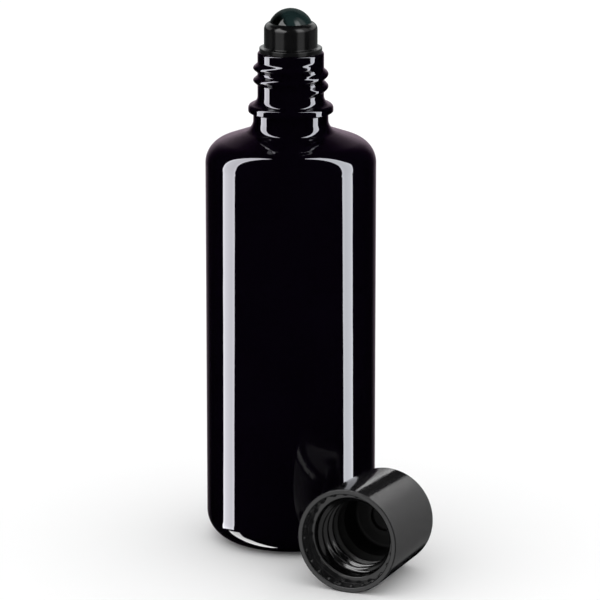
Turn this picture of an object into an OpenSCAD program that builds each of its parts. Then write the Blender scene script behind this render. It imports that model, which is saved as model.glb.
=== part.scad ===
// Roll-on bottle: a glass bottle with a screw neck, a roller housing pressed
// into its bore, a glass ball caught in the housing, and the screw cap that
// has been taken off and lies in front of the bottle.
// Millimetres, +Z up. The origin is the centre of the bottle's base.

/* [Glass body] */
// Outer diameter of the body
body_d = 41; // [38:0.5:46]
// Height of the straight wall's upper end, where the shoulder starts
wall_top_z = 93.4; // [70:0.1:110]
// Thickness of the glass wall
glass_wall = 2.1; // [1.6:0.1:3]
// Thickness of the base above the floor
base_thickness = 4; // [3:0.1:6]
// Radius of the heel
heel_r = 6.8; // [5:0.1:8]
// Width of the flat ring that the bottle stands on
standing_ring_w = 1.7; // [1:0.1:2.5]
// Height of the hollow under the base
push_up = 1.6; // [0.8:0.1:2.2]
// Radius of the shoulder's outer bend
shoulder_r = 5.9; // [4:0.1:8]
// Slope of the shoulder's cone
shoulder_slope = 20; // [14:1:28]

/* [Glass neck] */
// Diameter of the neck under the thread
core_d = 15.9; // [15:0.1:17]
// Diameter of the bore
bore_d = 10.6; // [9.6:0.1:11.4]
// Diameter of the plain collar between the shoulder and the bead
collar_d = 18; // [17.4:0.1:18.6]
// Radius of the hollow between the shoulder and the collar
collar_hollow_r = 3; // [2:0.1:4]
// Length of the collar between that hollow and the bead
collar_h = 2; // [0.5:0.1:3]
// Diameter of the bead under the thread
bead_d = 20.4; // [19.4:0.1:21]
// Length of the bead's straight side
bead_side_h = 0.6; // [0.1:0.1:2]
// Rounding of the bead's lower edge
bead_lower_r = 0.3; // [0.3:0.1:1]
// Rounding of the bead's upper edge
bead_upper_r = 1; // [0.6:0.1:1.4]
// Radius of the hollow above the bead
bead_hollow_r = 2; // [1.2:0.1:2.6]
// Length of the neck from the bead's hollow to the lip
finish_h = 10.75; // [10.6:0.05:14]
// Rounding of the lip
lip_r = 0.6; // [0.2:0.1:1]

/* [Thread] */
// Outer diameter of the thread on the neck
thread_d = 18; // [17.6:0.1:18.6]
// Rise of the thread in one turn
pitch = 3; // [2.8:0.1:3.4]
// Width of the neck's ridge where it leaves the core
ridge_w = 1.9; // [1.4:0.1:2]
// Turns of the neck's ridge
ridge_turns = 2.08; // [1.5:0.01:2.2]
// Height of the ridge's start above the bead's hollow
ridge_start_h = 1.75; // [1.1:0.05:2]
// Direction in which the ridge starts, turned from +X
ridge_start_angle = -72; // [-180:4:180]

/* [Roller ball] */
// Diameter of the ball
ball_d = 11; // [10:0.1:11.4]
// Clearance all round the ball in its socket
ball_clearance = 0.08; // [0.05:0.01:0.1]

/* [Roller housing] */
// Outer diameter of the cup that holds the ball
cup_d = 12.8; // [12.4:0.1:13.4]
// Rounding of the cup's outer rim
cup_rim_r = 1.75; // [1:0.05:2]
// Diameter of the socket's mouth
socket_mouth_d = 10.18; // [9:0.01:10.3]
// Diameter of the flange that sits on the lip
flange_d = 15; // [14:0.1:15.6]
// Thickness of the flange
flange_h = 1.1; // [0.8:0.1:1.6]
// Height of the socket's bottom above the housing's inner floor face
socket_floor = 1.2; // [0.8:0.1:1.6]
// Diameter of the feed hole under the ball
feed_hole_d = 6.2; // [5:0.1:7]
// Number of feed grooves in the socket
feed_grooves = 6; // [3:1:8]
// Width of a feed groove
groove_w = 0.8; // [0.4:0.1:1.2]
// Depth of a feed groove in the socket's wall
groove_depth = 0.35; // [0.2:0.05:0.5]
// Length of the plug in the bore
plug_h = 9; // [7:0.1:11]
// Gap between the plug's wall and the bore
plug_gap = 0.25; // [0.15:0.05:0.4]
// Thickness of the plug's wall
plug_wall = 1.1; // [0.8:0.1:1.5]
// How far each sealing bead is squeezed by the bore
seal_squeeze = 0.05; // [0.02:0.01:0.1]
// Half height of a sealing bead
seal_bead_h = 0.7; // [0.5:0.1:1]
// Number of sealing beads
seal_beads = 3; // [2:1:3]
// Height of the plug's tapered lead-in
plug_lead = 1.2; // [0.8:0.1:1.6]

/* [Screw cap] */
// Outer diameter at the mouth
cap_d = 25; // [24.6:0.1:27]
// Taper of the outer radius from the mouth to the closed end
cap_taper = 0.7; // [0.2:0.1:1.2]
// Thickness of the closed end
cap_top = 1.4; // [1:0.1:2]
// Thickness of the skirt at the mouth
cap_skirt = 1.25; // [1:0.05:1.4]
// Outer rounding of the closed end
cap_edge_r = 1.6; // [0.8:0.1:2.4]
// Rounding of the mouth's edges
cap_lip_r = 0.3; // [0.1:0.05:0.5]
// Depth of the wide recess behind the mouth
recess_h = 3.4; // [2.8:0.1:3.8]
// How far the seated cap's mouth reaches below the bead's hollow
cap_reach = 3; // [2.6:0.1:3.4]
// Gap between the neck's thread and the cap's inner wall
thread_root_gap = 0.45; // [0.3:0.05:0.6]
// Gap between the cap's ridge and the neck's core
thread_crest_gap = 0.3; // [0.2:0.05:0.45]
// Width of the cap's ridge where it leaves the wall
cap_ridge_w = 1.1; // [0.8:0.1:1.2]
// Turns of the cap's ridge
cap_ridge_turns = 3.4; // [1.5:0.1:3.6]
// Gap between the ball's top and the closed end of the seated cap
ball_top_gap = 0.3; // [0.2:0.05:0.6]
// Thickness of the ring that presses on the ball
press_ring_w = 1; // [0.6:0.1:1.4]
// Gap between that ring and the ball of the seated cap
press_ring_gap = 0.3; // [0.2:0.05:0.5]
// Inner diameter of that ring
press_ring_d = 7.2; // [6:0.1:8]
// Number of moulded teeth behind the mouth
cap_teeth = 24; // [12:1:30]
// Diameter of a tooth
tooth_d = 1.2; // [0.8:0.1:1.5]
// Length of a tooth
tooth_h = 1.5; // [1:0.1:2]

/* [Place of the cap] */
// Direction from the cap's mouth to its closed end, turned from +X
cap_heading = 66; // [50:1:80]
// Direction from the bottle's axis to the nearest point of the cap, turned from +X
cap_bearing = -52.6; // [-60:0.1:-30]
// Gap between the bottle's wall and that point, on the cap's closed end
cap_gap = 0.6; // [0.3:0.1:5]
// Turn of the cap about its own axis
cap_roll = 40; // [0:5:355]

/* [Hidden] */
$fn = 96;
overrun = 0.5;
arc_step = 6;
dome_step = 3;
rings_per_turn = 36;

// Colours as the photograph shows them
glass_colour = [0.05, 0.03, 0.07];
housing_colour = [0.06, 0.06, 0.065];
ball_colour = [0.06, 0.13, 0.13];
cap_colour = [0.2, 0.2, 0.21];

// Levels of the glass, from the shoulder up
body_r = body_d / 2;
core_r = core_d / 2;
bore_r = bore_d / 2;
collar_r = collar_d / 2;
bead_r = bead_d / 2;
bend_angle = 90 - shoulder_slope;
cone_start_r = body_r - shoulder_r * (1 - cos(bend_angle));
cone_start_z = wall_top_z + shoulder_r * sin(bend_angle);

// Height of the centre of an arc of radius r that touches a vertical line at
// line_r from outside and the shoulder's cone, sunk by depth, from above
function hollow_centre_z(r, line_r, depth) =
    cone_start_z + (r - depth - (line_r + r - cone_start_r) * sin(shoulder_slope))
    / cos(shoulder_slope);

collar_z = hollow_centre_z(collar_hollow_r, collar_r, 0);
bead_z = collar_z + collar_h;
bead_upper_z = bead_z + bead_lower_r + bead_side_h;
bead_upper_x = bead_r - bead_upper_r;
bead_hollow_x = core_r + bead_hollow_r;
bead_bend = acos((bead_hollow_x - bead_upper_x) / (bead_upper_r + bead_hollow_r));
bead_top_z = bead_upper_z + (bead_upper_r + bead_hollow_r) * sin(bead_bend);
lip_z = bead_top_z + finish_h;

// Inside of the glass
inner_r = body_r - glass_wall;
inner_heel_r = heel_r - glass_wall;
inner_bend_r = shoulder_r - glass_wall;
inner_hollow_r = collar_hollow_r + (collar_r - bore_r) / 2;
inner_collar_z = hollow_centre_z(inner_hollow_r, bore_r, glass_wall);
ring_outer_r = body_r - heel_r;
ring_inner_r = ring_outer_r - standing_ring_w;
inner_floor_r = inner_r - inner_heel_r;

// Levels of the thread
thread_r = thread_d / 2;
ridge_z = bead_top_z + ridge_start_h;
ridge_fade_angle = 30;
ridge_sink = 0.3;
// Section of a ridge: shares of its height and of its width
ridge_section_shares = [[0, -0.5], [0.35, -0.45], [0.8, -0.3], [1, -0.1],
                        [1, 0.1], [0.8, 0.3], [0.35, 0.45], [0, 0.5]];

// Levels of the ball and its housing
ball_r = ball_d / 2;
socket_r = ball_r + ball_clearance;
socket_mouth_r = socket_mouth_d / 2;
cup_r = cup_d / 2;
flange_r = flange_d / 2;
socket_sink_share = 0.113;
ball_z = lip_z + socket_r * (1 - socket_sink_share);
cup_rim_z = ball_z + sqrt(socket_r * socket_r - socket_mouth_r * socket_mouth_r);
plug_r = bore_r - plug_gap;
plug_inner_r = plug_r - plug_wall;
plug_z = lip_z - plug_h;
plug_roof_z = ball_z - socket_r - socket_floor;
flange_edge_r = flange_h / 5;
feed_hole_r = feed_hole_d / 2;

// Levels of the cap, measured from its mouth
cap_r = cap_d / 2;
seated_mouth_z = bead_top_z - cap_reach;
cap_ceiling = ball_z + ball_r + ball_top_gap - seated_mouth_z;
cap_h = cap_ceiling + cap_top;
cap_end_r = cap_r - cap_taper;
recess_r = cap_r - cap_skirt;
cap_root_r = thread_r + thread_root_gap;
cap_crest_r = core_r + thread_crest_gap;
cap_upper_r = cap_crest_r - thread_crest_gap / 2;
step_r = (recess_r - cap_root_r) / 4;
cap_ridge_z = recess_h + step_r + cap_ridge_w;
cap_ridge_top_z = cap_ridge_z + cap_ridge_turns * pitch + cap_ridge_w;
press_ring_r = press_ring_d / 2;
press_ring_low_z = ball_z + sqrt(ball_r * ball_r - press_ring_r * press_ring_r)
    + press_ring_gap - seated_mouth_z;
ceiling_edge_r = cap_edge_r / 2;
tooth_r = tooth_d / 2;
tooth_z = cap_lip_r * 2;
cap_draft = atan(cap_taper / cap_h);
cap_edge_turn = 90 - cap_draft;

// Place of the lying cap
near_x = (body_r + cap_gap) * cos(cap_bearing);
near_y = (body_r + cap_gap) * sin(cap_bearing);
cap_x = near_x - cap_h * cos(cap_heading) + cap_end_r * sin(cap_heading);
cap_y = near_y - cap_h * sin(cap_heading) - cap_end_r * cos(cap_heading);
cap_z = cap_r * cos(cap_draft);

// Points of an arc about (x, z) of radius r, from angle a0 to angle a1
function arc(x, z, r, a0, a1, step = arc_step) =
    let (count = max(1, round(abs(a1 - a0) / step)))
    [for (i = [0 : count]) [x + r * cos(a0 + (a1 - a0) * i / count),
                            z + r * sin(a0 + (a1 - a0) * i / count)]];

// Points of a shallow dome from (edge_r, edge_z) up to the axis at edge_z + rise
function dome(edge_r, edge_z, rise) =
    let (r = (edge_r * edge_r + rise * rise) / (2 * rise),
         half = asin(edge_r / r))
    arc(0, edge_z + rise - r, r, 90 - half, 90, dome_step);

function reversed(points) = [for (i = [len(points) - 1 : -1 : 0]) points[i]];

// Height of the ridge's fade at a share of its sweep, from 0 to 1
function fade(angle, total) =
    sin(90 * min(1, angle / ridge_fade_angle, (total - angle) / ridge_fade_angle));

// One unbroken ridge along a helix. Its foot is at foot_r and its crest at
// crest_r, which is smaller on an inside thread.
module helical_ridge(foot_r, crest_r, width, start_z, start_angle, turns) {
    total = turns * 360;
    rings = round(turns * rings_per_turn);
    sides = len(ridge_section_shares);
    outwards = crest_r > foot_r ? 1 : -1;
    points = [
        for (i = [0 : rings])
            let (angle = total * i / rings,
                 rise = (crest_r - foot_r) * max(fade(angle, total), overrun / rings))
            for (s = ridge_section_shares)
                let (r = s[0] == 0 ? foot_r - outwards * ridge_sink
                                   : foot_r + rise * s[0],
                     z = start_z + pitch * angle / 360 + width * s[1])
                [r * cos(start_angle + angle), r * sin(start_angle + angle), z]
    ];
    walls = [
        for (i = [0 : rings - 1]) for (j = [0 : sides - 1])
            let (a = i * sides + j, b = i * sides + (j + 1) % sides,
                 c = a + sides, d = b + sides)
            for (face = outwards > 0 ? [[a, b, c], [b, d, c]]
                                     : [[a, c, b], [b, c, d]]) face
    ];
    first = [for (j = [0 : sides - 1]) j];
    last = [for (j = [0 : sides - 1]) rings * sides + j];
    ends = outwards > 0 ? [reversed(first), last] : [first, reversed(last)];
    polyhedron(points = points, faces = concat(walls, ends), convexity = 8);
}

// Outline of the glass on one side of the axis
glass_outside = concat(
    reversed(dome(ring_inner_r, 0, push_up)),
    arc(ring_outer_r, heel_r, heel_r, -90, 0),
    arc(body_r - shoulder_r, wall_top_z, shoulder_r, 0, bend_angle),
    reversed(arc(collar_r + collar_hollow_r, collar_z, collar_hollow_r,
                 180, 180 + bend_angle)),
    [[collar_r, bead_z]],
    arc(bead_r - bead_lower_r, bead_z + bead_lower_r, bead_lower_r, -90, 0, arc_step * 3),
    arc(bead_upper_x, bead_upper_z, bead_upper_r, 0, bead_bend, arc_step * 2),
    reversed(arc(bead_hollow_x, bead_top_z, bead_hollow_r, 180, 180 + bead_bend,
                 arc_step * 2)),
    arc(core_r - lip_r, lip_z - lip_r, lip_r, 0, 90, arc_step * 3)
);
glass_inside = concat(
    arc(bore_r + lip_r, lip_z - lip_r, lip_r, 90, 180, arc_step * 3),
    arc(bore_r + inner_hollow_r, inner_collar_z, inner_hollow_r, 180, 180 + bend_angle),
    reversed(arc(body_r - shoulder_r, wall_top_z, inner_bend_r, 0, bend_angle)),
    reversed(arc(inner_floor_r, base_thickness + inner_heel_r, inner_heel_r, -90, 0)),
    dome(inner_floor_r, base_thickness, push_up)
);

module glass_bottle() {
    color(glass_colour)
    union() {
        rotate_extrude() polygon(concat(glass_outside, glass_inside));
        helical_ridge(core_r, thread_r, ridge_w, ridge_z, ridge_start_angle, ridge_turns);
    }
}

// Outline of one sealing bead, centred on the plug's wall
module seal_bead(z) {
    polygon([[plug_r - plug_gap, z - seal_bead_h], [bore_r + seal_squeeze, z],
             [plug_r - plug_gap, z + seal_bead_h]]);
}

module housing_outline() {
    bead_pitch = (plug_h - plug_lead) / (seal_beads + 1);
    // Cup and flange
    polygon(concat(
        [[0, lip_z]],
        [[flange_r, lip_z]],
        arc(flange_r - flange_edge_r, lip_z + flange_h - flange_edge_r, flange_edge_r,
            0, 90, arc_step * 3),
        [[cup_r, lip_z + flange_h]],
        arc(cup_r - cup_rim_r, cup_rim_z - cup_rim_r, cup_rim_r, 0, 90),
        [[0, cup_rim_z]]
    ));
    // Plug, with its lead-in and its sealing beads
    polygon([[plug_inner_r, plug_z], [plug_r - plug_wall / 2, plug_z],
             [plug_r, plug_z + plug_lead], [plug_r, lip_z + overrun],
             [0, lip_z + overrun], [0, plug_roof_z], [plug_inner_r, plug_roof_z]]);
    for (i = [1 : seal_beads]) seal_bead(plug_z + plug_lead + i * bead_pitch);
}

module roller_housing() {
    color(housing_colour)
    difference() {
        rotate_extrude() housing_outline();
        translate([0, 0, ball_z]) sphere(r = socket_r);
        translate([0, 0, ball_z]) cylinder(r = socket_mouth_r, h = ball_r);
        translate([0, 0, plug_roof_z - overrun])
            cylinder(r = feed_hole_r, h = socket_floor + ball_r);
        // Grooves that let the liquid past the ball
        for (i = [0 : feed_grooves - 1])
            rotate([0, 0, i * 360 / feed_grooves])
            translate([0, -groove_w / 2, ball_z - socket_r - groove_depth])
                cube([socket_mouth_r, groove_w, socket_r + groove_depth]);
    }
}

module roller_ball() {
    color(ball_colour)
    translate([0, 0, ball_z]) sphere(r = ball_r);
}

// Outline of the cap on one side of its axis, with its mouth at z = 0
module cap_outline() {
    edge_x = cap_end_r - cap_edge_r;
    polygon(concat(
        arc(recess_r + cap_lip_r, cap_lip_r, cap_lip_r, 180, 270, arc_step * 3),
        arc(cap_r - cap_lip_r, cap_lip_r, cap_lip_r, -90, -cap_draft, arc_step * 3),
        arc(edge_x, cap_h - cap_edge_r, cap_edge_r, cap_draft, 90),
        [[0, cap_h], [0, cap_ceiling], [press_ring_r, cap_ceiling],
         [press_ring_r, press_ring_low_z],
         [press_ring_r + press_ring_w, press_ring_low_z],
         [press_ring_r + press_ring_w, cap_ceiling]],
        arc(cap_upper_r - ceiling_edge_r, cap_ceiling - ceiling_edge_r, ceiling_edge_r,
            90, 0, arc_step * 3),
        [[cap_upper_r, cap_ridge_top_z + cap_root_r - cap_upper_r],
         [cap_root_r, cap_ridge_top_z]],
        arc(cap_root_r + step_r, recess_h + step_r, step_r, 180, 270, arc_step * 3),
        [[recess_r, recess_h]]
    ));
}

module standing_cap() {
    rotate_extrude() cap_outline();
    helical_ridge(cap_root_r, cap_crest_r, cap_ridge_w, cap_ridge_z, 0, cap_ridge_turns);
    // Teeth that hold the cap while its threaded core is unscrewed
    for (i = [0 : cap_teeth - 1])
        rotate([0, 0, i * 360 / cap_teeth])
        translate([recess_r, 0, tooth_z])
            cylinder(r = tooth_r, h = tooth_h);
}

module screw_cap() {
    color(cap_colour)
    translate([cap_x, cap_y, cap_z])
    rotate([0, 90 + cap_draft, cap_heading])
    rotate([0, 0, cap_roll])
        standing_cap();
}

glass_bottle();
roller_housing();
roller_ball();
screw_cap();
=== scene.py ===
import math
from types import SimpleNamespace

import bpy
from mathutils import Matrix, Vector


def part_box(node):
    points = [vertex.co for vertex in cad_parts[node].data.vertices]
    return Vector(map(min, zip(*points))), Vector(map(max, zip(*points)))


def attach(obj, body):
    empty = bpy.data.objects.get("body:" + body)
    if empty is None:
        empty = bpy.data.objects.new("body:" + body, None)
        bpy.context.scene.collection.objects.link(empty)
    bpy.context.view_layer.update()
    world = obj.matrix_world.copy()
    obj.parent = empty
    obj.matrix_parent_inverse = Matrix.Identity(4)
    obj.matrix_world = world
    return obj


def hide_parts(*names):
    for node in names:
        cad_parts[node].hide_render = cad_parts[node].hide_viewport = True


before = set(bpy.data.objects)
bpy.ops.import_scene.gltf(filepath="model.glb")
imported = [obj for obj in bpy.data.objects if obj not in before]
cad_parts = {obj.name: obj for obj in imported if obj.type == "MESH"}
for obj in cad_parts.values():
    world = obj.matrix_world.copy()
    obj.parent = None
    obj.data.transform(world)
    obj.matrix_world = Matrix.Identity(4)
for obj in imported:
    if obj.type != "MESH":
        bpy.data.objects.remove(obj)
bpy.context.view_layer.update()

MM = 0.001

# Turned pieces: faces round the axis, how close to its ends a straight run is held,
# the radius under which a point is on the axis, and an arc's steps in degrees
SIDES = 192
NEAR = 0.06
ON_AXIS = 1e-6
ARC_STEP = 3
BALL_STEP = 2.5
DOME_STEP = 1.5

# Sizes that the solids give
glass_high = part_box("glass_bottle")[1]
housing_low, housing_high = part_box("roller_housing")
ball_low, ball_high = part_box("roller_ball")
BODY_R = glass_high.x / MM
LIP_Z = glass_high.z / MM
FLANGE_R = housing_high.x / MM
CUP_RIM_Z = housing_high.z / MM
PLUG_Z = housing_low.z / MM
BALL_R = (ball_high.z - ball_low.z) / 2 / MM
BALL_Z = (ball_high.z + ball_low.z) / 2 / MM

# Glass body
WALL_TOP_Z = 93.4
GLASS_WALL = 2.1
BASE_THICKNESS = 4
HEEL_R = 6.8
STANDING_RING_W = 1.7
PUSH_UP = 1.6
SHOULDER_R = 5.9
SHOULDER_SLOPE = 20

# Glass neck
CORE_R = 7.95
BORE_R = 5.3
COLLAR_R = 9
COLLAR_HOLLOW_R = 3
COLLAR_H = 2
BEAD_R = 10.2
BEAD_SIDE_H = 0.6
BEAD_LOWER_R = 0.3
BEAD_UPPER_R = 1
BEAD_HOLLOW_R = 2
GLASS_LIP_R = 0.6

# Thread. The start angle is in degrees, the fade in turns, and the reach is a share of the width.
THREAD_R = 9
PITCH = 3
RIDGE_W = 1.9
RIDGE_TURNS = 2.08
RIDGE_START_H = 1.75
RIDGE_START_ANGLE = -72
RIDGE_FADE = 1 / 12
RIDGE_REACH = 0.72
RING_SPACING = 0.09

# Roller housing. The mouth's overlap is in degrees.
CUP_R = 6.4
CUP_RIM_R = 1.75
CUP_FOOT_R = 0.25
MOUTH_EDGE_R = 0.1
BALL_CLEARANCE = 0.08
SOCKET_MOUTH_R = 5.09
MOUTH_OVERLAP = 1
FLANGE_H = 1.1
FLANGE_EDGE_R = 0.22
FEED_HOLE_R = 3.1
SOCKET_FLOOR = 1.2
PLUG_GAP = 0.25
PLUG_WALL = 1.1
PLUG_LEAD = 1.2
SEAL_BEADS = 3
SEAL_BEAD_H = 0.4
SEAL_BEAD_RISE = 0.25
FEED_GROOVES = 6
GROOVE_W = 0.8
GROOVE_DEPTH = 0.35

# Screw cap, measured from its mouth
CAP_R = 12.5
CAP_TAPER = 0.7
CAP_TOP = 1.4
CAP_SKIRT = 1.25
CAP_EDGE_R = 1.6
CAP_LIP_R = 0.3
RECESS_H = 3.4
CAP_REACH = 3
THREAD_ROOT_GAP = 0.45
THREAD_CREST_GAP = 0.3
CAP_RIDGE_W = 1.1
CAP_RIDGE_TURNS = 3.4
BALL_TOP_GAP = 0.3
PRESS_RING_W = 1
PRESS_RING_GAP = 0.3
PRESS_RING_R = 3.6
CAP_TEETH = 24
TOOTH_R = 0.6
TOOTH_H = 1.5

# Place of the cap: its heading and roll, where it comes nearest to the bottle, and the gap there
CAP_HEADING = 66
CAP_BEARING = -52.6
CAP_GAP = 0.6
CAP_ROLL = 40

# The photograph's view, in its own pixels and in metres
PHOTO_WIDTH = 600
FOCAL_PIXELS = 4133
SENSOR_W = 36
CAMERA_DISTANCE = 1.0
CAMERA_ELEVATION = 14.5
AIM = Vector((0.0022, 0, 0.0592))

# Finishes: linear colours, and depths of relief in metres
GLASS_IOR = 1.52
PLASTIC_IOR = 1.5
VIOLET_DEEP = (0.0008, 0.0004, 0.0014, 1)
VIOLET_PALE = (0.0018, 0.0009, 0.003, 1)
HOUSING_DEEP = (0.003, 0.003, 0.0032, 1)
HOUSING_PALE = (0.0052, 0.0052, 0.0056, 1)
GREEN_DEEP = (0.005, 0.011, 0.011, 1)
GREEN_PALE = (0.014, 0.027, 0.027, 1)
# The painted shade on one side of the ball
GREEN_PAINTED_SHADE = (0.0005, 0.0008, 0.0008, 1)
CAP_DEEP = (0.008, 0.008, 0.0084, 1)
CAP_PALE = (0.013, 0.013, 0.0136, 1)
# The painted shade inside the cap
CAP_PAINTED_SHADE_INSIDE = (0.001, 0.001, 0.0011, 1)
FLOOR_COLOUR = (0.93, 0.93, 0.93, 1)
FINE_RELIEF = 0.00002
CAP_RELIEF = 0.0001

# Direction of the ball's side that carries painted shade
PAINTED_SHADE_SIDE = (-0.8, -0.45, 0.4)

# Tints and strengths of the lights
WHITE = (1, 1, 1)
LEFT_BOX_TINT = (0.93, 0.92, 1.0)
RIGHT_BOX_TINT = (0.91, 0.93, 1.0)
HEEL_TINT = (1.0, 0.99, 1.0)
ROOM_TINT = (1.0, 0.8, 0.94)
VIOLET_TINT = (0.9, 0.3, 1.0)
ROLLER_ROOM_TINT = (0.9, 1.0, 0.98)
SOFT_BOX_LIGHT = 10.5
HEEL_LIGHT = 8.0
VIOLET_LIGHT = 0.02
ROLLER_ROOM_LIGHT = 0.16
ROLLER_EDGE_LIGHT = 0.8
CAP_FRONT_LIGHT = 1.2
CAP_MIDDLE_LIGHT = 0.5
CAP_OVERHEAD_LIGHT = 1.8
CAP_GLINT_LIGHT = 9.0
CAP_LINE_LIGHT = 3.5

# Strengths along a turn or a rise, both in degrees
ROOM_BY_RISE = [
    (-50, 0), (-26, 0.03), (-19, 0.16), (-15, 0.3), (-8, 0.32), (0, 0.38), (8, 0.5),
    (12, 0.43), (16, 0.35), (20, 0.24), (28, 0.13), (36, 0.02), (42, 0),
]
ROOM_BY_TURN = [
    (0, 1), (10, 1), (14, 0.85), (18, 0.65), (22, 0.45), (26, 0.3), (30, 0.13), (34, 0.04), (40, 0),
]
FLANK_BY_TURN = [
    (82, 0), (90, 0.1), (111, 0.15), (138, 0.1), (165, 0),
    (215, 0), (235, 0.05), (249, 0.08), (269, 0.13), (278, 0),
]
CAP_SIDE_BY_RISE = [
    (-45, 0.15), (-25, 0.19), (-14, 0.3), (-3, 0.4), (7, 0.54), (16, 0.65), (22, 1.1), (26, 1.2),
]

# Studio
FLOOR_W = 6.0
DOME_R = 3.0
WORLD_STRENGTH = 1.2


class Signal:
    """One output socket. Arithmetic on it adds Math nodes to the same tree."""

    def __init__(self, bench, socket):
        self.bench = bench
        self.socket = socket

    def other(self, name):
        return Signal(self.bench, self.socket.node.outputs[name])

    def maths(self, operation, *values, clamp=False):
        settings = {"operation": operation, "use_clamp": clamp}
        return self.bench.make("ShaderNodeMath", settings, dict(enumerate(values)))

    def __add__(self, other):
        return self.maths("ADD", self, other)

    def __radd__(self, other):
        return self.maths("ADD", other, self)

    def __sub__(self, other):
        return self.maths("SUBTRACT", self, other)

    def __rsub__(self, other):
        return self.maths("SUBTRACT", other, self)

    def __mul__(self, other):
        return self.maths("MULTIPLY", self, other)

    def __rmul__(self, other):
        return self.maths("MULTIPLY", other, self)

    def __truediv__(self, other):
        return self.maths("DIVIDE", self, other)

    def __abs__(self):
        return self.maths("ABSOLUTE", self)

    def least(self, other):
        return self.maths("MINIMUM", self, other)

    def clamped(self):
        return self.maths("ADD", self, 0, clamp=True)

    def smooth(self, low, high):
        """0 at low, 1 at high, eased at both ends. It falls where low is the larger."""
        settings = {"interpolation_type": "SMOOTHSTEP"}
        sockets = {"Value": self, "From Min": low, "From Max": high}
        return self.bench.make("ShaderNodeMapRange", settings, sockets)


class Bench:
    """Adds nodes to one tree."""

    def __init__(self, tree):
        self.tree = tree

    def make(self, kind, settings=None, sockets=None, out=0):
        """A node with its settings made first, then its sockets' values or links."""
        node = self.tree.nodes.new(kind)
        for name, value in (settings or {}).items():
            setattr(node, name, value)
        self.feed(node, sockets or {})
        return Signal(self, node.outputs[out]) if len(node.outputs) else node

    def feed(self, node, sockets):
        for name, value in sockets.items():
            if isinstance(value, Signal):
                self.tree.links.new(value.socket, node.inputs[name])
            else:
                node.inputs[name].default_value = value

    def noise(self, where, scale, detail=2.0, roughness=0.5):
        sockets = {"Vector": where, "Scale": scale, "Detail": detail, "Roughness": roughness}
        return self.make("ShaderNodeTexNoise", None, sockets)

    def mixed(self, factor, first, second):
        """A colour between two others."""
        return self.make("ShaderNodeMix", {"data_type": "RGBA"}, {0: factor, 6: first, 7: second}, out=2)

    def bump(self, height, strength, depth):
        return self.make("ShaderNodeBump", None, {"Strength": strength, "Distance": depth, "Height": height})


class Outline:
    """The outline of a turned piece, walked with its material on the left hand.

    A straight run carries a point close to each of its ends, so that smooth shading keeps it straight.
    """

    def __init__(self, r, z):
        self.points = [(r, z)]

    def line(self, r, z, spacing=None):
        last_r, last_z = self.points[-1]
        length = math.hypot(r - last_r, z - last_z)
        if length < ON_AXIS:
            return self
        shares = []
        if spacing:
            count = round(length / spacing)
            shares = [i / count for i in range(1, count)]
        elif length > 3 * NEAR:
            shares = [NEAR / length, 1 - NEAR / length]
        self.points += [(last_r + (r - last_r) * s, last_z + (z - last_z) * s) for s in shares]
        self.points.append((r, z))
        return self

    def bend(self, x, z, radius, start, end, step=ARC_STEP):
        """A straight run to an arc about (x, z), then the arc between two angles in degrees."""
        count = max(3, round(abs(end - start) / step))
        angles = [math.radians(start + (end - start) * i / count) for i in range(count + 1)]
        self.line(x + radius * math.cos(angles[0]), z + radius * math.sin(angles[0]))
        self.points += [(x + radius * math.cos(a), z + radius * math.sin(a)) for a in angles[1:]]
        return self

    def dome(self, edge_r, edge_z, rise, outwards):
        """A shallow dome between the axis and its edge, walked outwards or inwards."""
        radius = (edge_r**2 + rise**2) / (2 * rise)
        half = math.degrees(math.asin(edge_r / radius))
        ends = (90, 90 - half) if outwards else (90 - half, 90)
        return self.bend(0, edge_z + rise - radius, radius, *ends, step=DOME_STEP)

    def close(self):
        """The last straight run, back to the first point."""
        self.line(*self.points[0])
        self.points.pop()
        return self


def turned(name, outline, closed=False):
    """A solid turned about the upright axis. A point on the axis is one pole."""
    vertices = []
    rings = []
    turns = [2 * math.pi * j / SIDES for j in range(SIDES)]
    for r, z in outline.points:
        start = len(vertices)
        if r < ON_AXIS:
            vertices.append((0, 0, z * MM))
            rings.append([start] * SIDES)
        else:
            vertices += [(r * MM * math.cos(t), r * MM * math.sin(t), z * MM) for t in turns]
            rings.append(range(start, start + SIDES))
    followers = rings[1:] + rings[:1] if closed else rings[1:]
    faces = []
    for low, high in zip(rings, followers):
        for j in range(SIDES):
            k = (j + 1) % SIDES
            face = list(dict.fromkeys((low[j], low[k], high[k], high[j])))
            if len(face) > 2:
                faces.append(face)
    mesh = bpy.data.meshes.new(name)
    mesh.from_pydata(vertices, [], faces)
    piece = bpy.data.objects.new(name, mesh)
    bpy.context.scene.collection.objects.link(piece)
    return piece


def mark(piece, attribute, chosen):
    """Writes 1 on the points that chosen(radius, level, turn) picks, and 0 on the others."""
    marks = piece.data.attributes.new(attribute, "FLOAT", "POINT")
    for vertex in piece.data.vertices:
        x, y, z = vertex.co / MM
        marks.data[vertex.index].value = float(chosen(math.hypot(x, y), z, math.atan2(y, x)))


def new_tree(name, inputs):
    """A Geometry Nodes tree with a geometry input and output, and its bench and entry node."""
    tree = bpy.data.node_groups.new(name, "GeometryNodeTree")
    tree.interface.new_socket(name="Geometry", in_out="INPUT", socket_type="NodeSocketGeometry")
    for label, kind in inputs.items():
        tree.interface.new_socket(name=label, in_out="INPUT", socket_type=kind)
    tree.interface.new_socket(name="Geometry", in_out="OUTPUT", socket_type="NodeSocketGeometry")
    bench = Bench(tree)
    entry = bench.make("NodeGroupInput")
    return tree, bench, entry


def end_tree(bench, geometry, finish):
    """The end of every tree: real meshes, one finish, smooth faces."""
    real = bench.make("GeometryNodeRealizeInstances", None, {"Geometry": geometry})
    smooth = bench.make("GeometryNodeSetShadeSmooth", None, {"Geometry": real})
    dressed = bench.make("GeometryNodeSetMaterial", None, {"Geometry": smooth, "Material": finish})
    bench.make("NodeGroupOutput", None, {"Geometry": dressed})


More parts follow.
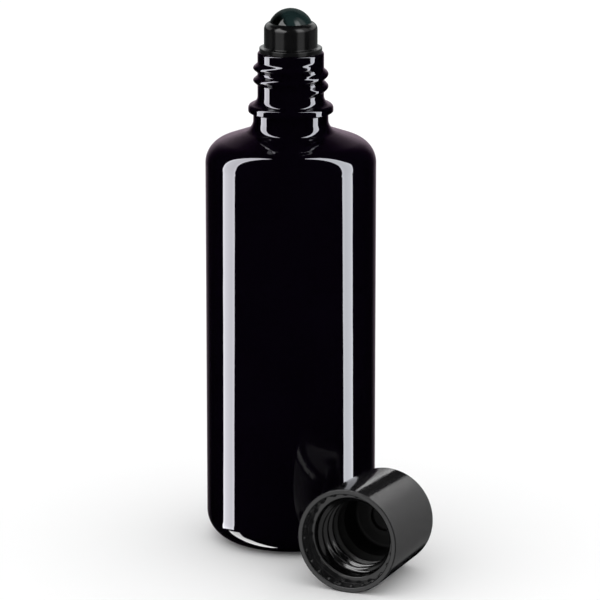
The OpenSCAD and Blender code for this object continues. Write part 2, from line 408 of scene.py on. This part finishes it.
def ridge_tree():
    """Raises a screw ridge from the marked points of a turned wall. A height below zero sinks inwards."""
    tree, bench, entry = new_tree("screw ridge", {
        "height": "NodeSocketFloat",
        "width": "NodeSocketFloat",
        "pitch": "NodeSocketFloat",
        "start height": "NodeSocketFloat",
        "start angle": "NodeSocketFloat",
        "turns": "NodeSocketFloat",
        "fade": "NodeSocketFloat",
        "finish": "NodeSocketMaterial",
    })
    place = bench.make("GeometryNodeInputPosition")
    x = bench.make("ShaderNodeSeparateXYZ", None, {"Vector": place})
    y, z = x.other("Y"), x.other("Z")
    around = x.maths("ARCTAN2", y, x) - entry.other("start angle")
    part_turn = x.maths("FRACT", around / (2 * math.pi))
    climbed = (z - entry.other("start height")) / entry.other("pitch")
    sweep = part_turn + x.maths("ROUND", climbed - part_turn)
    off_line = abs(climbed - sweep) * entry.other("pitch")
    reach = off_line / (entry.other("width") * RIDGE_REACH)
    dome = (1 - reach * reach).clamped()
    start_fade = sweep / entry.other("fade")
    end_fade = (entry.other("turns") - sweep) / entry.other("fade")
    ends = start_fade.least(end_fade).clamped()
    zone = bench.make("GeometryNodeInputNamedAttribute", {"data_type": "FLOAT"}, {"Name": "thread_zone"})
    rise = entry.other("height") * dome * dome * x.maths("SINE", ends * (math.pi / 2)) * zone
    flat = bench.make("ShaderNodeCombineXYZ", None, {"X": x, "Y": y})
    outwards = bench.make("ShaderNodeVectorMath", {"operation": "NORMALIZE"}, {0: flat})
    offset = bench.make("ShaderNodeVectorMath", {"operation": "SCALE"}, {0: outwards, "Scale": rise})
    raised = bench.make(
        "GeometryNodeSetPosition", None, {"Geometry": entry.other("Geometry"), "Offset": offset}
    )
    end_tree(bench, raised, entry.other("finish"))
    return tree


def teeth_tree():
    """Adds a ring of small rounded teeth, half sunk into the wall."""
    tree, bench, entry = new_tree("ring of teeth", {
        "count": "NodeSocketInt",
        "ring radius": "NodeSocketFloat",
        "level": "NodeSocketFloat",
        "tooth radius": "NodeSocketFloat",
        "tooth length": "NodeSocketFloat",
        "finish": "NodeSocketMaterial",
    })
    ring_sizes = {"Vertices": entry.other("count"), "Radius": entry.other("ring radius")}
    ring = bench.make("GeometryNodeMeshCircle", None, ring_sizes)
    tooth = bench.make("GeometryNodeMeshUVSphere", None, {"Segments": 14, "Rings": 10, "Radius": 1.0})
    thick = entry.other("tooth radius")
    half_length = entry.other("tooth length") / 2
    shape = bench.make("ShaderNodeCombineXYZ", None, {"X": thick, "Y": thick, "Z": half_length})
    sized = bench.make("GeometryNodeTransform", None, {"Geometry": tooth, "Scale": shape})
    teeth = bench.make("GeometryNodeInstanceOnPoints", None, {"Points": ring, "Instance": sized})
    lift = bench.make("ShaderNodeCombineXYZ", None, {"Z": entry.other("level")})
    lifted = bench.make("GeometryNodeTransform", None, {"Geometry": teeth, "Translation": lift})
    joined = bench.make("GeometryNodeJoinGeometry")
    for part in (entry.other("Geometry"), lifted):
        tree.links.new(part.socket, joined.socket.node.inputs["Geometry"])
    end_tree(bench, joined, entry.other("finish"))
    return tree


def shaped(piece, *steps):
    """Runs trees on a piece, each with its named values, and keeps the result as a plain mesh."""
    for tree, values in steps:
        modifier = piece.modifiers.new(tree.name, "NODES")
        modifier.node_group = tree
        for item in tree.interface.items_tree:
            if item.item_type == "SOCKET" and item.in_out == "INPUT" and item.name in values:
                modifier[item.identifier] = values[item.name]
    graph = bpy.context.evaluated_depsgraph_get()
    plain = bpy.data.meshes.new_from_object(piece.evaluated_get(graph))
    piece.modifiers.clear()
    piece.data = plain


def fitted(piece, finish, body, node):
    """Gives a piece its one finish and its place in the frame."""
    mesh = piece.data
    mesh.materials.clear()
    mesh.materials.append(finish)
    mesh.polygons.foreach_set("material_index", [0] * len(mesh.polygons))
    mesh.polygons.foreach_set("use_smooth", [True] * len(mesh.polygons))
    mesh.update()
    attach(piece, body)
    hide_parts(node)
    return piece


def new_finish(name, **values):
    """A material whose shader has these values on its own sockets, with its bench and place."""
    material = bpy.data.materials.new(name)
    material.use_nodes = True
    bench = Bench(material.node_tree)
    shader = material.node_tree.nodes["Principled BSDF"]
    bench.feed(shader, {label.replace("_", " "): value for label, value in values.items()})
    place = bench.make("ShaderNodeTexCoord", out="Object")
    return material, bench, shader, place


def violet_glass():
    """Near-black violet glass: polished, with the slow waves of a blown wall."""
    material, bench, shader, place = new_finish("violet glass", IOR=GLASS_IOR)
    drawn = bench.make("ShaderNodeMapping", None, {"Vector": place, "Scale": (1.0, 1.0, 0.3)})
    cloud = bench.noise(place, scale=55.0, detail=3.0)
    waves = bench.noise(drawn, scale=260.0, detail=1.0)
    haze = bench.noise(place, scale=900.0, detail=4.0, roughness=0.6)
    colour = bench.mixed(cloud, VIOLET_DEEP, VIOLET_PALE)
    bump = bench.bump(waves, strength=0.5, depth=FINE_RELIEF)
    bench.feed(shader, {"Base Color": colour, "Roughness": 0.02 + 0.03 * haze, "Normal": bump})
    return material


def housing_plastic():
    """Satin black moulded plastic."""
    material, bench, shader, place = new_finish("housing plastic", IOR=PLASTIC_IOR)
    grain = bench.noise(place, scale=2600.0, detail=3.0)
    tone = bench.noise(place, scale=300.0, detail=3.0)
    colour = bench.mixed(tone, HOUSING_DEEP, HOUSING_PALE)
    bump = bench.bump(grain, strength=0.25, depth=FINE_RELIEF)
    bench.feed(shader, {"Base Color": colour, "Roughness": 0.11 + 0.09 * tone, "Normal": bump})
    return material


def ball_glass():
    """Polished dark green glass, with painted shade that darkens one side almost to black."""
    material, bench, shader, place = new_finish("ball glass", IOR=GLASS_IOR)
    centre = (0, 0, BALL_Z * MM)
    spoke = bench.make("ShaderNodeVectorMath", {"operation": "SUBTRACT"}, {0: place, 1: centre})
    along = bench.make("ShaderNodeVectorMath", {"operation": "DOT_PRODUCT"}, {0: spoke, 1: PAINTED_SHADE_SIDE})
    cloud = bench.noise(place, scale=260.0, detail=4.0)
    haze = bench.noise(place, scale=1500.0, detail=3.0)
    # Painted shade: the glass turns almost black towards one side
    depth = (along.other("Value") / (BALL_R * MM) + 0.5 * cloud).smooth(0.92, 1.16)
    green = bench.mixed(cloud, GREEN_DEEP, GREEN_PALE)
    colour = bench.mixed(depth, green, GREEN_PAINTED_SHADE)
    bench.feed(shader, {"Base Color": colour, "Roughness": 0.05 + 0.04 * haze})
    return material


def cap_plastic(lying):
    """Smooth black moulded plastic, drawn a little along the cap, matt deep inside it, with painted shade
    that darkens its inside.
    """
    material, bench, shader, place = new_finish("cap plastic", IOR=PLASTIC_IOR)
    own = bench.make(
        "ShaderNodeMapping",
        {"vector_type": "TEXTURE"},
        {"Vector": place, "Location": lying.to_translation(), "Rotation": lying.to_euler()},
    )
    drawn = bench.make("ShaderNodeMapping", None, {"Vector": own, "Scale": (1.0, 1.0, 0.12)})
    streaks = bench.noise(drawn, scale=1300.0, detail=3.0)
    sinks = bench.noise(own, scale=170.0, detail=2.0)
    ripples = bench.noise(own, scale=520.0, detail=2.0)
    grain = bench.noise(own, scale=4200.0, detail=2.0)
    x = bench.make("ShaderNodeSeparateXYZ", None, {"Vector": own})
    y, z = x.other("Y"), x.other("Z")
    radius = x.maths("SQRT", x * x + y * y)
    height = cap_sizes().height
    under_top = z.smooth(height * MM, (height - CAP_TOP / 2) * MM)
    inside = radius.smooth(CAP_R * 0.84 * MM, CAP_R * 0.78 * MM) * under_top
    deep = inside * z.smooth(RECESS_H * 3.2 * MM, RECESS_H * 4.6 * MM)
    skin = bench.mixed(streaks, CAP_DEEP, CAP_PALE)
    # Painted shade: the colour darkens inside the cap
    colour = bench.mixed(inside * 0.75, skin, CAP_PAINTED_SHADE_INSIDE)
    relief = (sinks * 0.6 + ripples * 0.5) * (1 - inside * 0.8) + streaks * 0.1 + grain * 0.05
    bump = bench.bump(relief, strength=0.5, depth=CAP_RELIEF)
    gloss = 0.1 + 0.05 * streaks + 0.5 * deep
    bench.feed(shader, {"Base Color": colour, "Roughness": gloss, "Normal": bump})
    return material


def hollow_z(radius, line_r, depth):
    """Level of the centre of an arc that touches an upright line and the shoulder's cone, sunk by depth."""
    slope = math.radians(SHOULDER_SLOPE)
    bend = math.radians(90 - SHOULDER_SLOPE)
    cone_r = BODY_R - SHOULDER_R * (1 - math.cos(bend))
    cone_z = WALL_TOP_Z + SHOULDER_R * math.sin(bend)
    return cone_z + (radius - depth - (line_r + radius - cone_r) * math.sin(slope)) / math.cos(slope)


def neck_levels():
    """Levels of the collar's hollow, the bead's foot, its upper round and the hollow above it.

    The last two rounds meet at an angle, in degrees.
    """
    collar_z = hollow_z(COLLAR_HOLLOW_R, COLLAR_R, 0)
    bead_z = collar_z + COLLAR_H
    upper_z = bead_z + BEAD_LOWER_R + BEAD_SIDE_H
    reach = (CORE_R + BEAD_HOLLOW_R - (BEAD_R - BEAD_UPPER_R)) / (BEAD_UPPER_R + BEAD_HOLLOW_R)
    turn = math.degrees(math.acos(reach))
    top_z = upper_z + (BEAD_UPPER_R + BEAD_HOLLOW_R) * math.sin(math.radians(turn))
    return SimpleNamespace(collar=collar_z, bead=bead_z, upper=upper_z, top=top_z, meet=turn)


def glass_outline():
    """The outer side from the push-up to the lip, then the inner side back down."""
    levels = neck_levels()
    bend = 90 - SHOULDER_SLOPE
    ring_r = BODY_R - HEEL_R
    hollow_r = ring_r - STANDING_RING_W
    outline = Outline(0, PUSH_UP)
    outline.dome(hollow_r, 0, PUSH_UP, outwards=True)
    outline.bend(ring_r, HEEL_R, HEEL_R, -90, 0)
    outline.bend(BODY_R - SHOULDER_R, WALL_TOP_Z, SHOULDER_R, 0, bend)
    outline.bend(COLLAR_R + COLLAR_HOLLOW_R, levels.collar, COLLAR_HOLLOW_R, 180 + bend, 180)
    outline.line(COLLAR_R, levels.bead)
    outline.bend(BEAD_R - BEAD_LOWER_R, levels.bead + BEAD_LOWER_R, BEAD_LOWER_R, -90, 0, step=7)
    outline.bend(BEAD_R - BEAD_UPPER_R, levels.upper, BEAD_UPPER_R, 0, levels.meet, step=6)
    outline.bend(CORE_R + BEAD_HOLLOW_R, levels.top, BEAD_HOLLOW_R, 180 + levels.meet, 180, step=4)
    outline.line(CORE_R, LIP_Z - GLASS_LIP_R, spacing=RING_SPACING)
    outline.bend(CORE_R - GLASS_LIP_R, LIP_Z - GLASS_LIP_R, GLASS_LIP_R, 0, 90, step=9)
    inner_hollow_r = COLLAR_HOLLOW_R + (COLLAR_R - BORE_R) / 2
    inner_z = hollow_z(inner_hollow_r, BORE_R, GLASS_WALL)
    inner_heel_r = HEEL_R - GLASS_WALL
    outline.bend(BORE_R + GLASS_LIP_R, LIP_Z - GLASS_LIP_R, GLASS_LIP_R, 90, 180, step=9)
    outline.bend(BORE_R + inner_hollow_r, inner_z, inner_hollow_r, 180, 180 + bend, step=6)
    outline.bend(BODY_R - SHOULDER_R, WALL_TOP_Z, SHOULDER_R - GLASS_WALL, bend, 0, step=6)
    outline.bend(ring_r, BASE_THICKNESS + inner_heel_r, inner_heel_r, 0, -90, step=6)
    outline.dome(ring_r, BASE_THICKNESS, PUSH_UP, outwards=False)
    return outline


def glass_bottle(finish, ridge):
    """The bottle, with the thread raised on its neck."""
    bottle = turned("violet_bottle", glass_outline())
    low, high = neck_levels().top, LIP_Z - GLASS_LIP_R
    mark(bottle, "thread_zone", lambda r, z, turn: abs(r - CORE_R) < NEAR / 10 and low <= z <= high)
    shaped(bottle, (ridge, {
        "height": (THREAD_R - CORE_R) * MM,
        "width": RIDGE_W * MM,
        "pitch": PITCH * MM,
        "start height": (low + RIDGE_START_H) * MM,
        "start angle": math.radians(RIDGE_START_ANGLE),
        "turns": RIDGE_TURNS,
        "fade": RIDGE_FADE,
        "finish": finish,
    }))
    return fitted(bottle, finish, "bottle", "glass_bottle")


def housing_outline():
    """Plug with its sealing beads, flange, cup, and the socket back down to the plug's foot."""
    plug_r = BORE_R - PLUG_GAP
    plug_inner_r = plug_r - PLUG_WALL
    socket_r = BALL_R + BALL_CLEARANCE
    roof_z = BALL_Z - socket_r - SOCKET_FLOOR
    flange_top_z = LIP_Z + FLANGE_H
    bead_pitch = (LIP_Z - PLUG_Z - PLUG_LEAD) / (SEAL_BEADS + 1)
    outline = Outline(plug_inner_r, PLUG_Z)
    outline.line(plug_r - PLUG_WALL / 2, PLUG_Z)
    outline.line(plug_r, PLUG_Z + PLUG_LEAD)
    for i in range(1, SEAL_BEADS + 1):
        z = PLUG_Z + PLUG_LEAD + i * bead_pitch
        outline.line(plug_r, z - SEAL_BEAD_H)
        outline.line(plug_r + SEAL_BEAD_RISE, z)
        outline.line(plug_r, z + SEAL_BEAD_H)
    outline.line(plug_r, LIP_Z)
    outline.bend(FLANGE_R - FLANGE_EDGE_R / 2, LIP_Z + FLANGE_EDGE_R / 2, FLANGE_EDGE_R / 2, -90, 0, step=15)
    outline.bend(FLANGE_R - FLANGE_EDGE_R, flange_top_z - FLANGE_EDGE_R, FLANGE_EDGE_R, 0, 90, step=9)
    outline.bend(CUP_R + CUP_FOOT_R, flange_top_z + CUP_FOOT_R, CUP_FOOT_R, 270, 180, step=9)
    rim_turn = math.degrees(math.acos((SOCKET_MOUTH_R + MOUTH_EDGE_R - CUP_R + CUP_RIM_R) / CUP_RIM_R))
    outline.bend(CUP_R - CUP_RIM_R, CUP_RIM_Z - CUP_RIM_R, CUP_RIM_R, 0, rim_turn, step=4)
    mouth_turn = math.degrees(math.acos(SOCKET_MOUTH_R / socket_r))
    hole_turn = math.degrees(math.acos(FEED_HOLE_R / socket_r))
    outline.bend(0, BALL_Z, socket_r, mouth_turn - MOUTH_OVERLAP, -hole_turn)
    outline.line(FEED_HOLE_R, roof_z)
    outline.line(plug_inner_r, roof_z)
    return outline.close()


def in_groove(r, z, turn):
    """Whether a point of the socket lies in one of its feed grooves."""
    step = 2 * math.pi / FEED_GROOVES
    off = abs((turn + step / 2) % step - step / 2) * r
    return off < GROOVE_W / 2 and FEED_HOLE_R + NEAR < r < BALL_R + 2 * BALL_CLEARANCE and z < BALL_Z


def groove_tree():
    """Moves the marked points outwards by a depth."""
    tree, bench, entry = new_tree("feed grooves", {
        "depth": "NodeSocketFloat",
        "centre height": "NodeSocketFloat",
        "finish": "NodeSocketMaterial",
    })
    place = bench.make("GeometryNodeInputPosition")
    centre = bench.make("ShaderNodeCombineXYZ", None, {"Z": entry.other("centre height")})
    spoke = bench.make("ShaderNodeVectorMath", {"operation": "SUBTRACT"}, {0: place, 1: centre})
    outwards = bench.make("ShaderNodeVectorMath", {"operation": "NORMALIZE"}, {0: spoke})
    zone = bench.make("GeometryNodeInputNamedAttribute", {"data_type": "FLOAT"}, {"Name": "groove_zone"})
    sink = entry.other("depth") * zone
    offset = bench.make("ShaderNodeVectorMath", {"operation": "SCALE"}, {0: outwards, "Scale": sink})
    sunk = bench.make(
        "GeometryNodeSetPosition", None, {"Geometry": entry.other("Geometry"), "Offset": offset}
    )
    end_tree(bench, sunk, entry.other("finish"))
    return tree


def roller_housing(finish):
    """The housing, with its feed grooves sunk into the socket."""
    housing = turned("roller_cup", housing_outline(), closed=True)
    socket_r = BALL_R + BALL_CLEARANCE

    def on_socket(r, z, turn):
        return abs(math.hypot(r, z - BALL_Z) - socket_r) < NEAR / 10 and in_groove(r, z, turn)

    mark(housing, "groove_zone", on_socket)
    shaped(housing, (groove_tree(), {
        "depth": GROOVE_DEPTH * MM,
        "centre height": BALL_Z * MM,
        "finish": finish,
    }))
    return fitted(housing, finish, "bottle", "roller_housing")


def roller_ball(finish):
    """The ball, with its poles above and below."""
    outline = Outline(0, BALL_Z - BALL_R)
    outline.bend(0, BALL_Z, BALL_R, -90, 90, step=BALL_STEP)
    ball = turned("glass_ball", outline)
    return fitted(ball, finish, "ball", "roller_ball")


def cap_sizes():
    """The cap's levels and radii that follow from the neck, its thread and the ball."""
    seated_z = neck_levels().top - CAP_REACH
    ceiling = BALL_Z + BALL_R + BALL_TOP_GAP - seated_z
    press_z = BALL_Z + math.sqrt(BALL_R**2 - PRESS_RING_R**2) + PRESS_RING_GAP - seated_z
    root_r = THREAD_R + THREAD_ROOT_GAP
    step_r = (CAP_R - CAP_SKIRT - root_r) / 4
    ridge_z = RECESS_H + step_r + CAP_RIDGE_W
    return SimpleNamespace(
        height=ceiling + CAP_TOP,
        ceiling=ceiling,
        press_z=press_z,
        root_r=root_r,
        crest_r=CORE_R + THREAD_CREST_GAP,
        step_r=step_r,
        step_z=RECESS_H + step_r,
        ridge_z=ridge_z,
        ridge_top_z=ridge_z + CAP_RIDGE_TURNS * PITCH + CAP_RIDGE_W,
    )


def cap_outline():
    """Lip, outer wall, closed end with its press ring, thread's root and the recess behind the mouth."""
    cap = cap_sizes()
    draft = math.degrees(math.atan(CAP_TAPER / cap.height))
    end_r = CAP_R - CAP_TAPER
    recess_r = CAP_R - CAP_SKIRT
    upper_r = cap.crest_r - THREAD_CREST_GAP / 2
    corner_r = CAP_EDGE_R / 2
    ring_r = PRESS_RING_R + PRESS_RING_W
    outline = Outline(recess_r, CAP_LIP_R)
    outline.bend(recess_r + CAP_LIP_R, CAP_LIP_R, CAP_LIP_R, 180, 270, step=9)
    outline.bend(CAP_R - CAP_LIP_R, CAP_LIP_R, CAP_LIP_R, -90, -draft, step=9)
    outline.bend(end_r - CAP_EDGE_R, cap.height - CAP_EDGE_R, CAP_EDGE_R, draft, 90, step=4)
    outline.line(0, cap.height)
    outline.line(0, cap.ceiling)
    outline.line(PRESS_RING_R, cap.ceiling)
    outline.line(PRESS_RING_R, cap.press_z)
    outline.line(ring_r, cap.press_z)
    outline.line(ring_r, cap.ceiling)
    outline.bend(upper_r - corner_r, cap.ceiling - corner_r, corner_r, 90, 0, step=9)
    outline.line(upper_r, cap.ridge_top_z + cap.root_r - upper_r)
    outline.line(cap.root_r, cap.ridge_top_z)
    outline.line(cap.root_r, cap.step_z, spacing=RING_SPACING)
    outline.bend(cap.root_r + cap.step_r, cap.step_z, cap.step_r, 180, 270, step=9)
    outline.line(recess_r, RECESS_H)
    return outline.close()


def lying_place():
    """Where the cap lies: on its side on the floor, its closed end close to the bottle's wall."""
    height = cap_sizes().height
    draft = math.atan(CAP_TAPER / height)
    heading = math.radians(CAP_HEADING)
    bearing = math.radians(CAP_BEARING)
    end_r = CAP_R - CAP_TAPER
    x = (BODY_R + CAP_GAP) * math.cos(bearing) - height * math.cos(heading) + end_r * math.sin(heading)
    y = (BODY_R + CAP_GAP) * math.sin(bearing) - height * math.sin(heading) - end_r * math.cos(heading)
    place = Matrix.Translation(Vector((x, y, CAP_R * math.cos(draft))) * MM)
    lean = Matrix.Rotation(math.radians(90) + draft, 4, "Y")
    roll = Matrix.Rotation(math.radians(CAP_ROLL), 4, "Z")
    return place @ Matrix.Rotation(heading, 4, "Z") @ lean @ roll


def screw_cap(finish, ridge, lying):
    """The cap, with its ridge and teeth, laid on its side."""
    sizes = cap_sizes()
    cap = turned("black_cap", cap_outline())

    def on_root(r, z, turn):
        return abs(r - sizes.root_r) < NEAR / 10 and sizes.step_z <= z <= sizes.ridge_top_z

    mark(cap, "thread_zone", on_root)
    ridge_values = {
        "height": (sizes.crest_r - sizes.root_r) * MM,
        "width": CAP_RIDGE_W * MM,
        "pitch": PITCH * MM,
        "start height": sizes.ridge_z * MM,
        "start angle": 0.0,
        "turns": CAP_RIDGE_TURNS,
        "fade": RIDGE_FADE,
        "finish": finish,
    }
    teeth_values = {
        "count": CAP_TEETH,
        "ring radius": (CAP_R - CAP_SKIRT) * MM,
        "level": (2 * CAP_LIP_R + TOOTH_H / 2) * MM,
        "tooth radius": TOOTH_R * MM,
        "tooth length": TOOTH_H * MM,
        "finish": finish,
    }
    shaped(cap, (ridge, ridge_values), (teeth_tree(), teeth_values))
    cap.data.transform(lying)
    return fitted(cap, finish, "cap", "screw_cap")


def add_camera():
    """The photograph's view: a long lens, a little above the object."""
    data = bpy.data.cameras.new("photo_view")
    data.sensor_width = SENSOR_W
    data.lens = FOCAL_PIXELS * SENSOR_W / PHOTO_WIDTH
    data.clip_start = CAMERA_DISTANCE / 10
    camera = bpy.data.objects.new("photo_view", data)
    rise = math.radians(CAMERA_ELEVATION)
    camera.location = AIM + CAMERA_DISTANCE * Vector((0, -math.cos(rise), math.sin(rise)))
    camera.rotation_euler = (math.radians(90) - rise, 0, 0)
    bpy.context.scene.collection.objects.link(camera)
    bpy.context.scene.camera = camera


def sheet_of(name, rows, material):
    """A flat or bent sheet through rows of points, two or more in a row."""
    across = len(rows[0])
    points = [point for row in rows for point in row]
    faces = []
    for i in range(len(rows) - 1):
        for j in range(across - 1):
            a = i * across + j
            faces.append((a, a + 1, a + 1 + across, a + across))
    mesh = bpy.data.meshes.new(name)
    mesh.from_pydata(points, [], faces)
    mesh.materials.append(material)
    sheet = bpy.data.objects.new(name, mesh)
    bpy.context.scene.collection.objects.link(sheet)
    return sheet


def add_floor():
    """A plain pale floor, kept out of reflections so that the heel stays black."""
    material = new_finish("pale floor", Base_Color=FLOOR_COLOUR, Roughness=0.9)[0]
    half = FLOOR_W / 2
    corners = [[(-half, -half, 0), (half, -half, 0)], [(-half, half, 0), (half, half, 0)]]
    sheet_of("floor", corners, material).visible_glossy = False


def only_for(light, pieces):
    """Lets a light reach these pieces and nothing else."""
    group = bpy.data.collections.new(light.name + " reaches")
    for piece in pieces:
        group.objects.link(piece)
    light.light_linking.receiver_collection = group


def glow(name, colour):
    """Clear light of one colour, as strong as the sheet's own points say, so that sheets may overlap."""
    material = bpy.data.materials.new(name)
    material.use_nodes = True
    bench = Bench(material.node_tree)
    material.node_tree.nodes.clear()
    strength = bench.make("ShaderNodeAttribute", {"attribute_name": "strength"}).other("Fac")
    light = bench.make("ShaderNodeEmission", None, {"Color": (*colour, 1), "Strength": strength})
    clear = bench.make("ShaderNodeBsdfTransparent")
    both = bench.make("ShaderNodeAddShader", None, {0: light, 1: clear})
    bench.make("ShaderNodeOutputMaterial", None, {"Surface": both})
    return material


def on_dome(turn, rise):
    """A far point in one direction: turned from the camera's side to the right, and raised, in degrees."""
    t, e = math.radians(turn), math.radians(rise)
    level = Vector((math.sin(t), -math.cos(t), 0)) * math.cos(e)
    return Vector((0, 0, WALL_TOP_Z * MM)) + DOME_R * (level + Vector((0, 0, math.sin(e))))


def add_card(name, rows, colour, pieces):
    """A glowing sheet through rows of (turn, rise, strength), seen only as a reflection on these pieces."""
    card = sheet_of(name, [[on_dome(t, e) for t, e, s in row] for row in rows], glow(name, colour))
    strengths = card.data.attributes.new("strength", "FLOAT", "POINT")
    strengths.data.foreach_set("value", [s for row in rows for t, e, s in row])
    card.visible_camera = False
    card.visible_diffuse = False
    card.visible_shadow = False
    only_for(card, pieces)


def band(stations, side, strength, shares):
    """Rows of a tall band. A station has the turn and rise of its outer and of its inner edge."""
    rows = []
    for outer_turn, outer_rise, inner_turn, inner_rise in stations:
        row = []
        for share, gain in shares:
            turn = outer_turn + (inner_turn - outer_turn) * share
            rise = outer_rise + (inner_rise - outer_rise) * share
            row.append((side * turn, rise, strength * gain))
        rows.append(row)
    return rows


def panel(turns, rises, strength_at, steps=24):
    """Rows of an even panel between two turns and two rises, with its strength from a rule."""
    rows = []
    for i in range(steps + 1):
        rise = rises[0] + (rises[1] - rises[0]) * i / steps
        row = []
        for j in range(steps + 1):
            turn = turns[0] + (turns[1] - turns[0]) * j / steps
            row.append((turn, rise, strength_at(turn, rise)))
        rows.append(row)
    return rows


def ease(value, low, high):
    """0 below low, 1 above high, smooth between. It falls where low is the larger."""
    share = min(max((value - low) / (high - low), 0), 1)
    return share * share * (3 - 2 * share)


def between(value, stations):
    """A value read off a line drawn through stations."""
    for (low, first), (high, second) in zip(stations, stations[1:]):
        if value <= high:
            return first + (second - first) * max(value - low, 0) / (high - low)
    return stations[-1][1]


def light_bottle(bottle):
    """Two tall soft boxes with brighter edges, the light under the heel, and the pale room behind."""
    left = [
        (120, -33, 92, -32), (105.5, -18, 84, -18), (103, -10, 79.5, -10), (103, 8, 79.4, 11),
        (103.6, 21, 81.5, 24), (104.6, 34, 83.7, 39.5), (106, 49, 86.6, 53), (109, 58, 89.5, 61),
        (111.5, 64, 93, 67), (112, 69, 97, 72), (109, 73, 101, 75), (105, 75.5, 102.5, 76),
    ]
    right = [
        (106, -33, 84, -32), (94, -18, 77, -18), (90, -10, 72, -10), (92, 8, 73, 8),
        (95, 21, 73.8, 18), (93, 37, 76, 30), (95, 47, 78, 44), (98, 54, 83, 58),
        (106, 62, 88, 65), (116, 68, 94, 71), (120, 75, 101, 76), (121, 79, 110, 79.4),
    ]
    heel = [
        (108, -36, 84, -37), (111, -41, 87, -43), (113, -48, 91, -50),
        (117, -55, 89, -59), (129, -62, 97, -69), (139, -66, 121, -75), (150, -70, 148, -76),
    ]
    edges = [(0, 1.3), (0.08, 1.1), (0.25, 0.98), (0.75, 0.98), (0.92, 1.1), (1, 1.3)]
    add_card("left soft box", band(left, -1, SOFT_BOX_LIGHT, edges), LEFT_BOX_TINT, [bottle])
    add_card("right soft box", band(right, 1, SOFT_BOX_LIGHT, edges), RIGHT_BOX_TINT, [bottle])
    for side in (-1, 1):
        add_card("heel light", band(heel, side, HEEL_LIGHT, [(0, 1), (1, 1)]), HEEL_TINT, [bottle])

    def room(turn, rise):
        return between(abs(180 - turn), ROOM_BY_TURN) * between(rise, ROOM_BY_RISE)

    def haze(turn, rise):
        return VIOLET_LIGHT * ease(abs(180 - turn), 55, 25) * ease(rise, -20, 0) * ease(rise, 56, 30)

    add_card("room behind", panel((140, 220), (-50, 42), room, 46), ROOM_TINT, [bottle])
    add_card("violet room", panel((125, 235), (-20, 56), haze), VIOLET_TINT, [bottle])


def light_roller(housing, ball):
    """Two upright panels that grow brighter upwards, a faint room behind, and the housing's side lights."""
    left = [
        (68, -45, 31, -45), (69, -10, 30, -10), (71, 5, 26, 5), (73, 20, 20, 18),
        (75, 32, 20, 31), (76, 45, 45, 43), (77, 53, 66, 52), (78, 59, 77, 59),
    ]
    fading_in = [0.5, 0.55, 1.4, 3.6, 4.2, 4.4, 4.4, 4.4]

    def right(turn, rise):
        lit = (0.6 + 1.9 * ease(rise, 0, 30)) * ease(abs(turn - 45), 20, 11)
        fringe = 0.7 * ease(rise, 0, 20) * ease(abs(turn - 62), 44, 20)
        return lit * ease(rise, 64, 44) + fringe * ease(rise, 75, 50)

    def behind(turn, rise):
        return ROLLER_ROOM_LIGHT * ease(abs(turn - 180), 60, 20)

    def edges(turn, rise):
        return ROLLER_EDGE_LIGHT * ease(rise, 5, 12) * ease(rise, 38, 28)

    def flanks(turn, rise):
        return between(turn, FLANK_BY_TURN)

    left_rows = band(left, -1, 1.0, [(0, 1), (0.5, 0.9), (1, 1)])
    left_rows = [[(t, e, s * gain) for t, e, s in row] for row, gain in zip(left_rows, fading_in)]
    add_card("roller panel left", left_rows, WHITE, [housing, ball])
    add_card("roller panel right", panel((10, 110), (-45, 76), right, 48), WHITE, [housing, ball])
    add_card("roller room", panel((120, 240), (-50, 50), behind), ROLLER_ROOM_TINT, [housing, ball])
    add_card("roller edge light", panel((100, 260), (5, 38), edges), WHITE, [housing])
    add_card("roller flank light", panel((82, 278), (-40, 2), flanks, 48), WHITE, [housing])


def light_cap(cap):
    """Panels to the right and left with a dark gap between, one overhead, and others for the thread."""
    def right(turn, rise):
        return between(rise, CAP_SIDE_BY_RISE) * ease(turn, 100, 106)

    def left(turn, rise):
        return 0.42 + 1.0 * ease(turn, 179.5, 172.5)

    def front(turn, rise):
        return CAP_FRONT_LIGHT * ease(abs(turn + 48), 40, 20)

    def middle(turn, rise):
        return CAP_MIDDLE_LIGHT * ease(abs(turn - 3), 16, 8)

    def glint(turn, rise):
        return CAP_GLINT_LIGHT

    def overhead(turn, rise):
        return CAP_OVERHEAD_LIGHT * ease(rise, 48, 54) * ease(rise, 82, 70)

    def line(turn, rise):
        return CAP_LINE_LIGHT * ease(rise, 0, 10)

    panels = [
        ("cap panel right", (100, 158), (-45, 36), right, 24),
        ("cap panel left", (172, 215), (-12, 26), left, 24),
        ("cap panel front", (-90, -8), (-40, 20), front, 24),
        ("cap panel middle", (-13, 19), (-50, 24), middle, 24),
        ("cap overhead", (-180, 180), (48, 82), overhead, 48),
        ("cap glint", (-80, -34), (27, 36), glint, 24),
        ("cap thread line", (-8.5, -6), (0, 32), line, 24),
    ]
    for name, turns, rises, strength_at, steps in panels:
        add_card(name, panel(turns, rises, strength_at, steps), WHITE, [cap])


def add_world():
    """White to the camera and soft white to rough surfaces, with nothing of its own in reflections."""
    world = bpy.data.worlds.new("white studio")
    bpy.context.scene.world = world
    world.use_nodes = True
    world.node_tree.nodes.clear()
    bench = Bench(world.node_tree)
    seen = bench.make("ShaderNodeLightPath", out="Is Camera Ray")
    shining = seen.other("Is Glossy Ray")
    strength = seen + (1 - seen) * (1 - shining) * WORLD_STRENGTH
    sky = bench.make("ShaderNodeBackground", None, {"Color": (1, 1, 1, 1), "Strength": strength})
    bench.make("ShaderNodeOutputWorld", None, {"Surface": sky})


add_camera()
ridge = ridge_tree()
lying = lying_place()
bottle = glass_bottle(violet_glass(), ridge)
housing = roller_housing(housing_plastic())
ball = roller_ball(ball_glass())
cap = screw_cap(cap_plastic(lying), ridge, lying)
add_floor()
light_bottle(bottle)
light_roller(housing, ball)
light_cap(cap)
add_world()
bpy.context.scene.view_settings.view_transform = "Standard"
